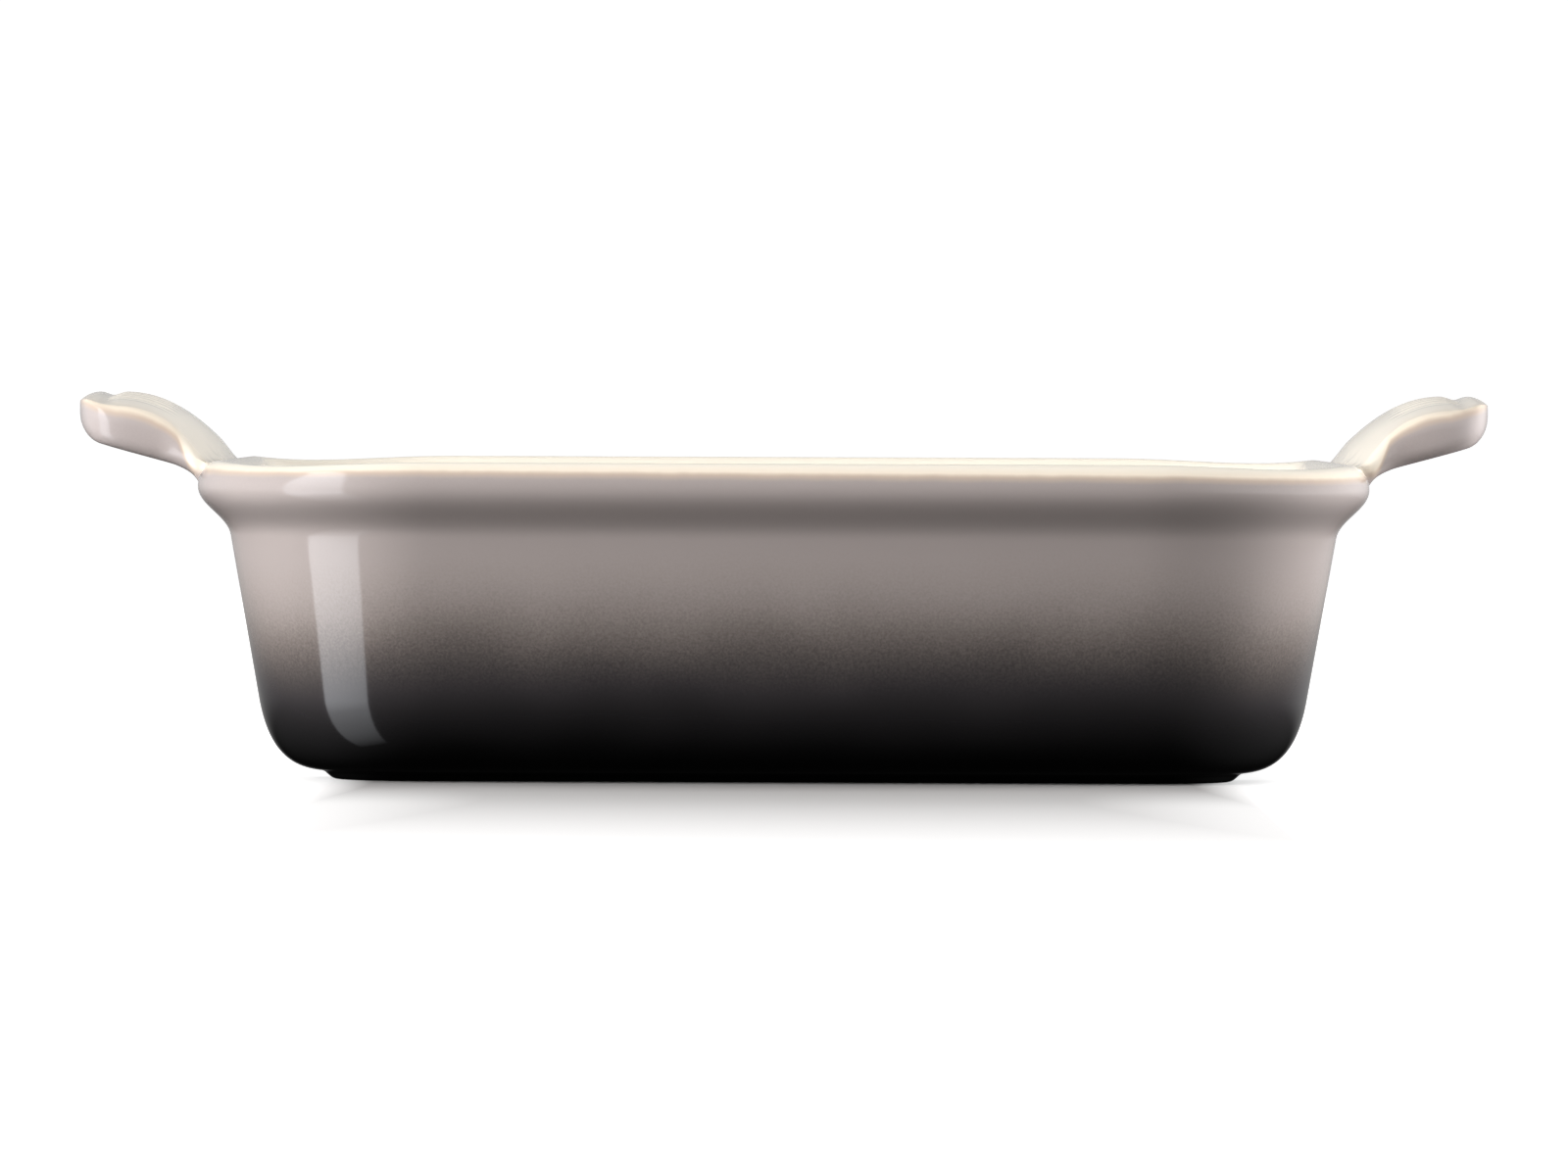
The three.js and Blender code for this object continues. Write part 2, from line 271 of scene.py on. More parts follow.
for wall in roomLook["walls"].values():
    start, end = (wall["sign"] * part for part in roomLook["side"])
    light = addNode(tree, "ShaderNodeMapRange", {
        "Value": towards[wall["axis"]], "From Min": start, "From Max": end, "To Max": wall["level"],
    }, interpolation_type="SMOOTHSTEP").outputs["Result"]
    for part in ("underneath", "overhead"):
        start, end = roomLook[part]
        dim = addNode(tree, "ShaderNodeMapRange", {
            "Value": towards["Z"], "From Min": start, "From Max": end, "To Min": wall[part], "To Max": 1.0,
        }, interpolation_type="SMOOTHSTEP").outputs["Result"]
        light = addNode(tree, "ShaderNodeMath", {0: light, 1: dim}, operation="MULTIPLY").outputs["Value"]
    glow = addNode(tree, "ShaderNodeMath", {0: glow, 1: light}, operation="ADD").outputs["Value"]
air = addNode(tree, "ShaderNodeBackground", {"Strength": glow})
addNode(tree, "ShaderNodeOutputWorld", {"Surface": air.outputs["Background"]})
room.cycles_visibility.diffuse = False  # the lamps alone light the dish
scene.world = room
print("stage and lamps set")

# glazed stoneware: two glass coats over clay. Cream pools inside and breaks tan where it thins over an
# edge, and the grey outside is sprayed into black towards the foot, so that band shows a fine grain
glazeLook = {
    "cream": "#f8f0e2", "warmCream": "#f1e4d2", "breakLine": "#d2bca6", "roughness": 0.08, "ior": 1.5,
    "ombreAndPaintedLift": [(2, "#010101"), (7, "#0b0b0b"), (12, "#1c1b1c"), (16, "#272526"), (20, "#373436"),
              (24, "#4c4746"), (28, "#645d5a"), (32, "#7d7470"), (36, "#928985"), (41, "#a39995"),
              (47, "#aaa09d"), (62, "#aaa09d"), (72, "#b9afad")],  # from the foot up; the last stop, above the rim, is painted light: it makes the grey sides of the handles lighter in place of more lamp light on them
    "lineSoft": (-1.3, -0.2, 0.8, 2.6),  # across the break line: grey, tan, warm cream, cream
    "tanShare": 0.6, "cornerRise": 2.5,
    "drift": {"size": 22, "reach": 2.4, "detail": 1.0, "roughness": 0.5},
    "grain": {"size": 0.5, "reach": 3.2, "detail": 1.0, "roughness": 0.6, "from": 15, "to": 26},
    "wobble": {"size": 7, "reach": 0.35, "detail": 2.0, "roughness": 0.6},
    "ripple": {"size": 16, "depth": 0.02, "strength": 1.0, "detail": 1.0, "roughness": 0.5},
}


def glazeMaterial():
    look = glazeLook
    material, tree = emptyMaterial("glazedStoneware")
    place = addNode(tree, "ShaderNodeTexCoord").outputs["Object"]
    height = addNode(tree, "ShaderNodeSeparateXYZ", {0: place}).outputs["Z"]
    noise, wander = {}, {}
    for name in ("drift", "grain", "wobble", "ripple"):
        noise[name] = addNode(tree, "ShaderNodeTexNoise", {
            "Vector": place, "Scale": 1 / (look[name]["size"] * mm),
            "Detail": look[name]["detail"], "Roughness": look[name]["roughness"],
        }).outputs["Fac"]
    for name, unit in (("drift", mm), ("grain", mm), ("wobble", 1)):
        reach = look[name]["reach"] * unit
        wander[name] = addNode(tree, "ShaderNodeMapRange", {
            "Value": noise[name], "To Min": -reach, "To Max": reach,
        }).outputs["Result"]
    # sprayed edge between grey and black: a slow drift and a fine grain move it up and down.
    # the grain dies out before the black, and less black reaches the corners
    sprayed = addNode(tree, "ShaderNodeMapRange", {
        "Value": height, "From Min": look["grain"]["from"] * mm, "From Max": look["grain"]["to"] * mm,
    }, interpolation_type="SMOOTHSTEP").outputs["Result"]
    shift = addNode(tree, "ShaderNodeMath", {
        0: wander["grain"], 1: sprayed, 2: wander["drift"],
    }, operation="MULTIPLY_ADD").outputs["Value"]
    corner = addNode(tree, "ShaderNodeAttribute", attribute_name="cornerTurn").outputs["Fac"]
    shift = addNode(tree, "ShaderNodeMath", {
        0: corner, 1: look["cornerRise"] * mm, 2: shift,
    }, operation="MULTIPLY_ADD").outputs["Value"]
    height = addNode(tree, "ShaderNodeMath", {0: height, 1: shift}, operation="ADD").outputs["Value"]
    top = look["ombreAndPaintedLift"][-1][0]
    height = addNode(tree, "ShaderNodeMapRange", {"Value": height, "From Max": top * mm}).outputs["Result"]
    outside = addNode(tree, "ShaderNodeValToRGB", {"Fac": height}, stops=[
        (level / top, hexColour(colour)) for level, colour in look["ombreAndPaintedLift"]
    ])
    outside.color_ramp.interpolation = "B_SPLINE"
    # the cream coat by the distance from its edge, which wanders a little
    run = addNode(tree, "ShaderNodeAttribute", attribute_name="glazeRun").outputs["Fac"]
    run = addNode(tree, "ShaderNodeMath", {0: run, 1: wander["wobble"]}, operation="ADD").outputs["Value"]
    low, tan, warm, full = look["lineSoft"]
    run = addNode(tree, "ShaderNodeMapRange", {"Value": run, "From Min": low, "From Max": full})
    cream = addNode(tree, "ShaderNodeValToRGB", {"Fac": run.outputs["Result"]}, stops=[
        (0, (*hexColour(look["breakLine"])[:3], 0)),
        ((tan - low) / (full - low), (*hexColour(look["breakLine"])[:3], look["tanShare"])),
        ((warm - low) / (full - low), hexColour(look["warmCream"])),
        (1, hexColour(look["cream"])),
    ])
    colour = addNode(tree, "ShaderNodeMix", {
        "Factor": cream.outputs["Alpha"], 6: outside.outputs["Color"], 7: cream.outputs["Color"],
    }, data_type="RGBA").outputs[2]  # 6, 7 and 2 are the colour sockets of a mix
    # the fired glass lies in very slow waves
    waves = addNode(tree, "ShaderNodeBump", {
        "Height": noise["ripple"],
        "Strength": look["ripple"]["strength"], "Distance": look["ripple"]["depth"] * mm,
    }).outputs["Normal"]
    glass = addNode(tree, "ShaderNodeBsdfPrincipled", {
        "Base Color": colour, "Roughness": look["roughness"], "IOR": look["ior"], "Normal": waves,
    })
    addNode(tree, "ShaderNodeOutputMaterial", {"Surface": glass.outputs["BSDF"]})
    return material


glaze = glazeMaterial()

# bare stoneware: the foot is wiped before firing, so the resting face is dry, gritty and buff
clayLook = {
    "clay": "#c9b595", "grit": "#8d7455", "black": "#020202", "wipedLine": (-0.4, 0.4),
    "speckle": {"size": 0.7, "detail": 3.0, "roughness": 0.7, "spread": (0.3, 0.52)},
    "pitDepth": 0.15, "pitStrength": 0.6, "roughness": 0.85, "glassRoughness": 0.1, "ior": 1.5,
}


def clayMaterial():
    look = clayLook
    material, tree = emptyMaterial("bareStoneware")
    place = addNode(tree, "ShaderNodeTexCoord").outputs["Object"]
    run = addNode(tree, "ShaderNodeAttribute", attribute_name="wipedRun").outputs["Fac"]
    bare = addNode(tree, "ShaderNodeMapRange", {
        "Value": run, "From Min": look["wipedLine"][0], "From Max": look["wipedLine"][1],
    }).outputs["Result"]
    speckle = addNode(tree, "ShaderNodeTexNoise", {
        "Vector": place, "Scale": 1 / (look["speckle"]["size"] * mm),
        "Detail": look["speckle"]["detail"], "Roughness": look["speckle"]["roughness"],
    }).outputs["Fac"]
    gritty, plain = look["speckle"]["spread"]
    buff = addNode(tree, "ShaderNodeValToRGB", {"Fac": speckle}, stops=[
        (gritty, hexColour(look["grit"])), (plain, hexColour(look["clay"])),
    ]).outputs["Color"]
    colour = addNode(tree, "ShaderNodeMix", {
        "Factor": bare, 6: hexColour(look["black"]), 7: buff,
    }, data_type="RGBA").outputs[2]
    rough = addNode(tree, "ShaderNodeMapRange", {
        "Value": bare, "To Min": look["glassRoughness"], "To Max": look["roughness"],
    }).outputs["Result"]
    pits = addNode(tree, "ShaderNodeMath", {0: speckle, 1: bare}, operation="MULTIPLY").outputs["Value"]
    pits = addNode(tree, "ShaderNodeBump", {
        "Height": pits, "Strength": look["pitStrength"], "Distance": look["pitDepth"] * mm,
    }).outputs["Normal"]
    body = addNode(tree, "ShaderNodeBsdfPrincipled", {
        "Base Color": colour, "Roughness": rough, "IOR": look["ior"], "Normal": pits,
    })
    addNode(tree, "ShaderNodeOutputMaterial", {"Surface": body.outputs["BSDF"]})
    return material


clay = clayMaterial()
print("materials made")


def arcPoints(centre, radii, start, end, count):
    turn = np.radians(np.linspace(start, end, count + 1))
    return np.column_stack([centre[0] + radii[0] * np.cos(turn), centre[1] + radii[1] * np.sin(turn)])


def bendPoints(start, leave, arrive, end, count):
    start, leave, arrive, end = (np.array(point, float) for point in (start, leave, arrive, end))
    t = np.linspace(0, 1, count + 1)[:, None]
    return (1 - t) ** 3 * start + 3 * (1 - t) ** 2 * t * leave + 3 * (1 - t) * t ** 2 * arrive + t ** 3 * end


def joinPoints(*runs):
    points = np.concatenate(runs)
    apart = np.hypot(*np.diff(points, axis=0).T) > 1e-6
    return points[np.concatenate([[True], apart])]


def alongSection(points):
    return np.concatenate([[0], np.cumsum(np.hypot(*np.diff(points, axis=0).T))])


# basin: one section swept round a square with round corners
basinLow, basinHigh = (np.array(corner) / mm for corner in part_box("basin"))
rimHalf, rimHeight, footHeight = basinHigh[0], basinHigh[2], basinLow[2]
basinSize = {
    "cornerRadius": 48, "cornerDip": 0.9, "cornerSteps": 48, "spacing": 2.5,
    "crestInset": 4.7, "crestDrop": 5.2, "lipInset": 2.8, "lipDrop": 3.5,
    "neckInset": 6.76, "neckDrop": 15.2, "neckEase": 4.0,
    "wallDraft": 10, "wallThickness": 6.8, "floorThickness": 7, "innerCove": 18,
    "outerCove": 13.5,  # a plain round of this size sets how far the underside reaches
    "coveEase": (16.5, 10.5, 7.7),  # the cove itself: its top, and its pull downwards and outwards
    "glazeDrop": 2.3, "cornerDraw": 0.5, "glazeTilt": 0.005,
    "steps": {"cove": 28, "wall": 12, "neck": 18, "rim": 18,
              "lip": 12, "innerNeck": 14, "innerWall": 8, "innerCove": 20},  # along the section
}
crestHalf = rimHalf - basinSize["crestInset"]
neckHeight = rimHeight - basinSize["neckDrop"]
neckHalf = rimHalf - basinSize["neckInset"]
draft = math.radians(basinSize["wallDraft"])
wallInside = basinSize["wallThickness"] / math.cos(draft)


def coveHalf(level, radius, inside):
    return neckHalf - (neckHeight - level - radius) * math.tan(draft) - inside - radius / math.cos(draft)


undersideHalf = coveHalf(footHeight, basinSize["outerCove"], 0)


def outerSection():
    size, steps = basinSize, basinSize["steps"]
    ease, crestBase = size["neckEase"], rimHeight - size["crestDrop"]
    coveTop, coveDown, coveIn = size["coveEase"]
    start = (neckHalf - (neckHeight - coveTop) * math.tan(draft), coveTop)
    under = bendPoints(
        (undersideHalf, footHeight), (undersideHalf + coveIn, footHeight),
        (start[0] - coveDown * math.sin(draft), start[1] - coveDown * math.cos(draft)), start,
        steps["cove"])
    wall = np.linspace(under[-1], (neckHalf, neckHeight), steps["wall"] + 1)
    neck = bendPoints(
        wall[-1], (neckHalf + ease * math.sin(draft), neckHeight + ease * math.cos(draft)),
        (rimHalf, crestBase - ease), (rimHalf, crestBase), steps["neck"])
    crestRadii = (size["crestInset"], size["crestDrop"])
    rim = arcPoints((crestHalf, crestBase), crestRadii, 0, 90, steps["rim"])
    return joinPoints(under, wall, neck, rim)


def innerSection():
    size, steps = basinSize, basinSize["steps"]
    cove, ease = size["innerCove"], size["neckEase"]
    lipHalf, lipBase = crestHalf - size["lipInset"], rimHeight - size["lipDrop"]
    innerNeck = neckHalf - wallInside
    floorHeight = footHeight + size["floorThickness"]
    floorHalf = coveHalf(floorHeight, cove, wallInside)
    lip = arcPoints((crestHalf, lipBase), (size["lipInset"], size["lipDrop"]), 90, 180, steps["lip"])
    neck = bendPoints(
        lip[-1], (lipHalf, lipBase - ease),
        (innerNeck + ease * math.sin(draft), neckHeight + ease * math.cos(draft)), (innerNeck, neckHeight),
        steps["innerNeck"])
    floorCove = arcPoints((floorHalf, floorHeight + cove), (cove, cove), -size["wallDraft"], -90,
                          steps["innerCove"])
    wall = np.linspace(neck[-1], floorCove[0], steps["innerWall"] + 1)
    return joinPoints(lip, neck, wall, floorCove)


def newTree(name, shapeIn, numbers, shapeOut):
    tree = bpy.data.node_groups.new(name, "GeometryNodeTree")
    sockets = [(shapeIn, "Geometry"), *[(number, "Float") for number in numbers], ("Glaze", "Material")]
    for socket, kind in sockets:
        tree.interface.new_socket(socket, in_out="INPUT", socket_type="NodeSocket" + kind)
    tree.interface.new_socket(shapeOut, in_out="OUTPUT", socket_type="NodeSocketGeometry")
    return tree, addNode(tree, "NodeGroupInput").outputs


def endTree(tree, shape, coating, shapeOut):
    smooth = addNode(tree, "GeometryNodeSetShadeSmooth", {"Geometry": shape})
    real = addNode(tree, "GeometryNodeRealizeInstances", {"Geometry": smooth.outputs["Geometry"]})
    coat = addNode(tree, "GeometryNodeSetMaterial", {
        "Geometry": real.outputs["Geometry"], "Material": coating,
    })
    addNode(tree, "NodeGroupOutput", {shapeOut: coat.outputs["Geometry"]})


def sweepTree():
    numbers = ("Width", "Corner Radius", "Spacing", "Corner Dip", "Dip From", "Dip To")
    tree, given = newTree("sectionRoundTheDish", "Section", numbers, "Dish")
    profile = addNode(tree, "GeometryNodeMeshToCurve", {"Mesh": given["Section"]})
    square = addNode(tree, "GeometryNodeCurvePrimitiveQuadrilateral", {
        "Width": given["Width"], "Height": given["Width"],
    })
    rounded = addNode(tree, "GeometryNodeFilletCurve", {
        "Curve": square.outputs["Curve"], "Count": basinSize["cornerSteps"], "Radius": given["Corner Radius"],
    }, mode="POLY")
    even = addNode(tree, "GeometryNodeResampleCurve", {
        "Curve": rounded.outputs["Curve"], "Length": given["Spacing"],
    }, mode="LENGTH")
    level = addNode(tree, "GeometryNodeSetCurveNormal", {"Curve": even.outputs["Curve"]}, mode="Z_UP")
    heading = addNode(tree, "GeometryNodeInputTangent")
    kept = addNode(tree, "GeometryNodeCaptureAttribute", {"Geometry": level.outputs["Curve"]})
    kept.capture_items.new("VECTOR", "heading")
    tree.links.new(heading.outputs["Tangent"], kept.inputs["heading"])
    swept = addNode(tree, "GeometryNodeCurveToMesh", {
        "Curve": kept.outputs["Geometry"], "Profile Curve": profile.outputs["Curve"],
    })
    # the rim falls away a little round each corner. Four times the squares of the heading's x and y
    # comes to one halfway round it
    squared = addNode(tree, "ShaderNodeVectorMath", {
        0: kept.outputs["heading"], 1: kept.outputs["heading"],
    }, operation="MULTIPLY")
    parts = addNode(tree, "ShaderNodeSeparateXYZ", {0: squared.outputs["Vector"]}).outputs
    place = addNode(tree, "GeometryNodeInputPosition").outputs["Position"]
    height = addNode(tree, "ShaderNodeSeparateXYZ", {0: place}).outputs["Z"]
    rise = addNode(tree, "ShaderNodeMapRange", {
        "Value": height, "From Min": given["Dip From"], "From Max": given["Dip To"],
        "To Min": 0.0, "To Max": -4.0,
    }).outputs["Result"]
    fall = parts["X"]
    for share in (parts["Y"], rise, given["Corner Dip"]):
        fall = addNode(tree, "ShaderNodeMath", {0: fall, 1: share}, operation="MULTIPLY").outputs["Value"]
    down = addNode(tree, "ShaderNodeCombineXYZ", {"Z": fall})
    dipped = addNode(tree, "GeometryNodeSetPosition", {
        "Geometry": swept.outputs["Mesh"], "Offset": down.outputs["Vector"],
    })
    endTree(tree, dipped.outputs["Geometry"], given["Glaze"], "Dish")
    return tree


def runTree(piece, tree, values):
    modifier = piece.modifiers.new(tree.name, "NODES")
    modifier.node_group = tree
    for item in tree.interface.items_tree:
        if item.in_out == "INPUT" and item.name in values:
            modifier[item.identifier] = values[item.name]
    depsgraph = bpy.context.evaluated_depsgraph_get()
    made = bpy.data.meshes.new_from_object(piece.evaluated_get(depsgraph), preserve_all_data_layers=True,
                                           depsgraph=depsgraph)
    piece.modifiers.clear()
    piece.data = made
    return made


def sweptPiece(name, section, closed, attribute, run, values):
    data = bpy.data.meshes.new(name)
    last = len(section) - 1
    edges = [(i, i + 1) for i in range(last)] + ([(last, 0)] if closed else [])
    # the sweep takes a section's y axis downwards
    data.from_pydata([((half - rimHalf) * mm, -height * mm, 0) for half, height in section], edges, [])
    mark = data.attributes.new(attribute, "FLOAT", "POINT")
    mark.data.foreach_set("value", np.asarray(run, dtype=np.float32))
    piece = bpy.data.objects.new(name, data)
    scene.collection.objects.link(piece)
    made = runTree(piece, sweep, values)
    mesh = bmesh.new()
    mesh.from_mesh(made)
    bmesh.ops.remove_doubles(mesh, verts=mesh.verts, dist=1e-7)
    bmesh.ops.holes_fill(mesh, edges=[edge for edge in mesh.edges if edge.is_boundary], sides=0)
    bmesh.ops.recalc_face_normals(mesh, faces=mesh.faces)
    for face in mesh.faces:
        face.smooth = True
    mesh.to_mesh(made)
    mesh.free()
    return piece


sweep = sweepTree()
roundTheDish = {
    "Width": 2 * rimHalf * mm, "Corner Radius": basinSize["cornerRadius"] * mm,
    "Spacing": basinSize["spacing"] * mm,
    "Corner Dip": basinSize["cornerDip"] * mm, "Dip From": neckHeight * mm, "Dip To": rimHeight * mm,
}
outer, inner = outerSection(), innerSection()
section = joinPoints(outer, inner)
outerRun = alongSection(outer)
glazeLine = np.interp(rimHeight - basinSize["glazeDrop"], outer[:, 1], outerRun)
basin = sweptPiece("basin_glazed", section, False, "glazeRun", alongSection(section) - glazeLine,
                   {**roundTheDish, "Glaze": glaze})
# the cream is drawn up a little at the corners and its edge lies slightly askew
spots = np.empty(len(basin.data.vertices) * 3)
basin.data.vertices.foreach_get("co", spots)
spots = spots.reshape(-1, 3) / mm
turned = np.maximum(np.abs(spots[:, :2]) - rimHalf + basinSize["cornerRadius"], 1e-6)
turned = 4 * np.prod(turned, axis=1) ** 2 / (turned ** 2).sum(1) ** 2
run = np.empty(len(spots))
basin.data.attributes["glazeRun"].data.foreach_get("value", run)
run += basinSize["glazeTilt"] * spots[:, 0] - basinSize["cornerDraw"] * turned
basin.data.attributes["glazeRun"].data.foreach_set("value", run.astype(np.float32))
cornerTurn = basin.data.attributes.new("cornerTurn", "FLOAT", "POINT")
cornerTurn.data.foreach_set("value", turned.astype(np.float32))
print("basin swept:", len(basin.data.polygons), "faces")

# foot ring: the same sweep with a low rounded section, wiped bare where it stands
footSize = {
    "inset": 0.8, "width": 11, "round": 2.6, "flare": 0.9, "edge": 1.4, "landing": 1.5, "leaving": 1.0,
    "lap": 0.2, "tuck": 0.9, "tuckInset": 1, "bareInset": 0.4, "cornerRadius": 45,
    "steps": {"inside": 10, "resting": 5, "outside": 14},  # along the section
}


def footSection():
    steps = footSize["steps"]
    outerHalf = undersideHalf - footSize["inset"]
    innerHalf = outerHalf - footSize["width"]
    radii = (footSize["round"], footHeight)
    inside = arcPoints((innerHalf + footSize["round"], footHeight), radii, 180, 270, steps["inside"])
    # the outer edge leaves the cove along its own slope and lands flat, an ogee
    flareHalf = undersideHalf + footSize["flare"]
    cove = outer[outer[:, 1] <= basinSize["coveEase"][0]]
    flareHeight = np.interp(flareHalf, cove[:, 0], cove[:, 1])
    slope = np.interp(flareHalf + 1, cove[:, 0], cove[:, 1]) - flareHeight  # over one millimetre
    edgeHalf = outerHalf - footSize["edge"]
    leaving, tuckHeight = footSize["leaving"], footHeight + footSize["tuck"]
    outside = bendPoints(
        (edgeHalf, 0), (edgeHalf + footSize["landing"], 0),
        (flareHalf - leaving, flareHeight - leaving * slope), (flareHalf, flareHeight), steps["outside"])
    resting = np.linspace(inside[-1], outside[0], steps["resting"] + 1)
    # closed inside the clay of the basin
    ends = (flareHalf + footSize["lap"], innerHalf + footSize["tuckInset"])
    tuck = np.array([(end, tuckHeight) for end in ends])
    return joinPoints(inside, resting, outside, tuck)


footPoints = footSection()
resting = footPoints[footPoints[:, 1] < hair]
toEdge = np.minimum(footPoints[:, 0] - resting[:, 0].min(), resting[:, 0].max() - footPoints[:, 0])
roundTheFoot = {
    **roundTheDish, "Corner Radius": footSize["cornerRadius"] * mm, "Corner Dip": 0.0, "Glaze": clay,
}
wiped = toEdge - footSize["bareInset"]
footRing = sweptPiece("foot_ring_wiped", footPoints, True, "wipedRun", wiped, roundTheFoot)
print("foot ring swept:", len(footRing.data.polygons), "faces")

# handles: broad tabs that climb from the rim, with a lip at the tip and fine ribs for grip
handleHigh = np.array(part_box("right_handle")[1]) / mm
handleSize = {
    "gripReach": 18.5, "gripWidth": 90, "gripThickness": 8.6, "gripCrown": 3.4, "gripHollow": 1.5,
    "gripSlope": 15, "flareReach": 10.2, "grooveDepth": 0.7, "grooveWidth": 6,
    "rootWidth": 124, "rootLap": 0.8, "rootCrown": 8.6, "rootSlope": 50, "rootFillet": 7.4, "rootEndRise": 2,
    "rootSink": 0.5, "rootPastCrest": 0.5,
    "tipCrown": 1.9, "tipSquareness": 4.6, "tipWidth": 16, "tipInset": 0.5,
    "upperTip": (3.1, 2.0), "lowerTip": (5.2, 5.6),  # how far back and how deep the tip is rounded
    "upperEdge": 3.4, "lowerEdge": 3, "upperShare": 0.42, "lowerShare": 0.52,  # no more of the side than this
    "blend": 3.5, "blendFrom": 9.5, "blendTo": 14, "breakDrop": (1.25, 0.6), "breakTurn": (1.8, 6),
    "loops": 80, "upperSteps": (221, 14), "lowerSteps": (61, 6),  # along it; across a face and round its edge
    # how the root runs out on the rim, row by row
    "root": {
        "outerFrom": 30, "innerFrom": 45,  # heights above which the rim counts
        "crestFade": 3.5, "underFade": (9.5, 4), "tightest": 0.04,  # where its fillet tightens, to what share
        "straight": (30, 50), "tipClear": 6, "runOut": 0.4, "flowPast": 0.5, "rows": 40, "evenings": 8,
        "sink": 0.06, "sinkBelow": 0.5, "belowFrom": (3, 6),
        "pullRows": (14, 4), "pullDepth": 0.15, "lastDepth": 0.3, "dip": 0.6,  # of the last rows
    },
    "ribs": {
        "pitch": 5.6, "depth": 0.25, "upwards": (0.3, 0.7),
        "inner": (6, 11), "outer": (21.5, 21), "side": (32, 27),  # none to full
    },
}
root, ribs = handleSize["root"], handleSize["ribs"]
tipX, gripTop = handleHigh[0] - handleSize["tipInset"], handleHigh[2]
gripX = rimHalf + handleSize["gripReach"]
flareX = rimHalf + handleSize["flareReach"]
flareStart = (rimHalf + crestHalf) / 2
rootX = crestHalf - handleSize["rootLap"]
rootTop = rimHeight - handleSize["rootLap"]
rootEnd = crestHalf - handleSize["rootPastCrest"]  # the glaze of the root runs out on the crest of the rim


def shareOf(value, start, end):
    return np.clip((value - start) / (end - start), 0, 1)


def eased(share):
    return share ** 2 * (3 - 2 * share)


def roundOff(radius, share):
    return radius * (1 - np.sqrt(1 - share ** 2))


def topLine(x):
    share = shareOf(x, rootX, gripX)
    steep = (gripX - rootX) * math.tan(math.radians(handleSize["rootSlope"])) * share * (1 - share) ** 2
    return rootTop + steep + (gripTop - rootTop) * eased(share)


def groove(x, y):
    across = shareOf(x, gripX, gripX + handleSize["grooveWidth"])
    toSide = np.minimum(np.abs(y) / outlineHalf(x), 1)
    return handleSize["grooveDepth"] * np.sin(across * math.pi) ** 2 * (1 - toSide ** 4)


def crown(x):
    size = handleSize
    flare = shareOf(x, flareX, flareStart) ** 2
    return (size["gripCrown"] + (size["rootCrown"] - size["gripCrown"]) * flare
            + (size["tipCrown"] - size["gripCrown"]) * shareOf(x, gripX, tipX))


def sideLine(x):
    rise = (x - gripX) * math.tan(math.radians(handleSize["gripSlope"]))
    return gripTop - handleSize["gripCrown"] - handleSize["gripThickness"] + rise


def sideHalf(x):
    flare = (handleSize["rootWidth"] - handleSize["gripWidth"]) / 2
    return handleSize["gripWidth"] / 2 + roundOff(flare, shareOf(x, flareX, flareStart))


def outlineHalf(x):
    size = handleSize
    power = size["tipSquareness"]
    toTip = 1 - (1 - shareOf(x, flareX, tipX) ** power) ** (1 / power)
    return sideHalf(x) - (size["gripWidth"] - size["tipWidth"]) / 2 * toTip


def tipRound(x, reach, height):
    return roundOff(height, shareOf(x, tipX - reach, tipX))


def handleTop(x, y):
    fall = crown(x) * (y / sideHalf(x)) ** 2 + tipRound(x, *handleSize["upperTip"])
    return topLine(x) - groove(x, y) - fall


def handleUnder(x, y):
    size = handleSize
    toSide = (y / sideHalf(x)) ** 2
    toRim = shareOf(x, rimHalf + size["rootFillet"], rimHalf - size["rootSink"])  # ends just inside the rim
    hollow = size["gripHollow"] * (1 - toRim) * (1 - toSide)
    fillet = roundOff(size["rootFillet"], toRim) - size["rootEndRise"] * toRim ** 2 * toSide
    return sideLine(x) + hollow - fillet + tipRound(x, *size["lowerTip"])


def faceRow(x, height, wanted, most, towardsSide, across, edgeSteps):
    half = outlineHalf(x)
    radius = min(wanted, (handleTop(x, half) - handleUnder(x, half)) * most)
    turn = np.radians(np.linspace(90, 0, edgeSteps + 1)[:-1])
    edge = half - radius + radius * np.sin(turn)
    middle = np.linspace(radius - half, half - radius, across)
    y = np.concatenate([-edge, middle, edge[::-1]])
    bend = radius * (1 - np.cos(turn))
    z = height(x, y) + towardsSide * np.concatenate([bend, np.zeros(across), bend[::-1]])
    return np.column_stack([np.full(len(y), x), y, z])


def handleLoop(x):
    size = handleSize
    under = faceRow(x, handleUnder, size["lowerEdge"], size["lowerShare"], 1, *size["lowerSteps"])
    top = faceRow(x, handleTop, size["upperEdge"], size["upperShare"], -1, *size["upperSteps"])
    return np.concatenate([under, top[::-1]])


# the root: the handle and the rim as two distance fields, run into each other with a soft fillet
rimLine = joinPoints(outer[outer[:, 1] > root["outerFrom"]], inner[inner[:, 1] > root["innerFrom"]])


def rimDistance(points):
    spot = points[:, None, [0, 2]]
    start, along = rimLine[None, :-1], np.diff(rimLine, axis=0)[None]
    part = np.clip(((spot - start) * along).sum(2) / (along ** 2).sum(2), 0, 1)
    away = spot - start - part[..., None] * along
    nearest = np.hypot(away[..., 0], away[..., 1]).argmin(1)
    row = np.arange(len(points))
    away, along = away[row, nearest], along[0, nearest]
    side = np.sign(along[:, 1] * away[:, 0] - along[:, 0] * away[:, 1])
    return side * np.hypot(away[:, 0], away[:, 1])


def roundedCorner(a, b, radius):
    outside = np.hypot(np.maximum(a + radius, 0), np.maximum(b + radius, 0))
    return outside + np.minimum(np.maximum(a, b) + radius, 0) - radius


def steepness(height, x, y):
    step = 0.05
    return np.sqrt(1 + ((height(x + step, y) - height(x - step, y)) / (2 * step)) ** 2
                   + ((height(x, y + step) - height(x, y - step)) / (2 * step)) ** 2)


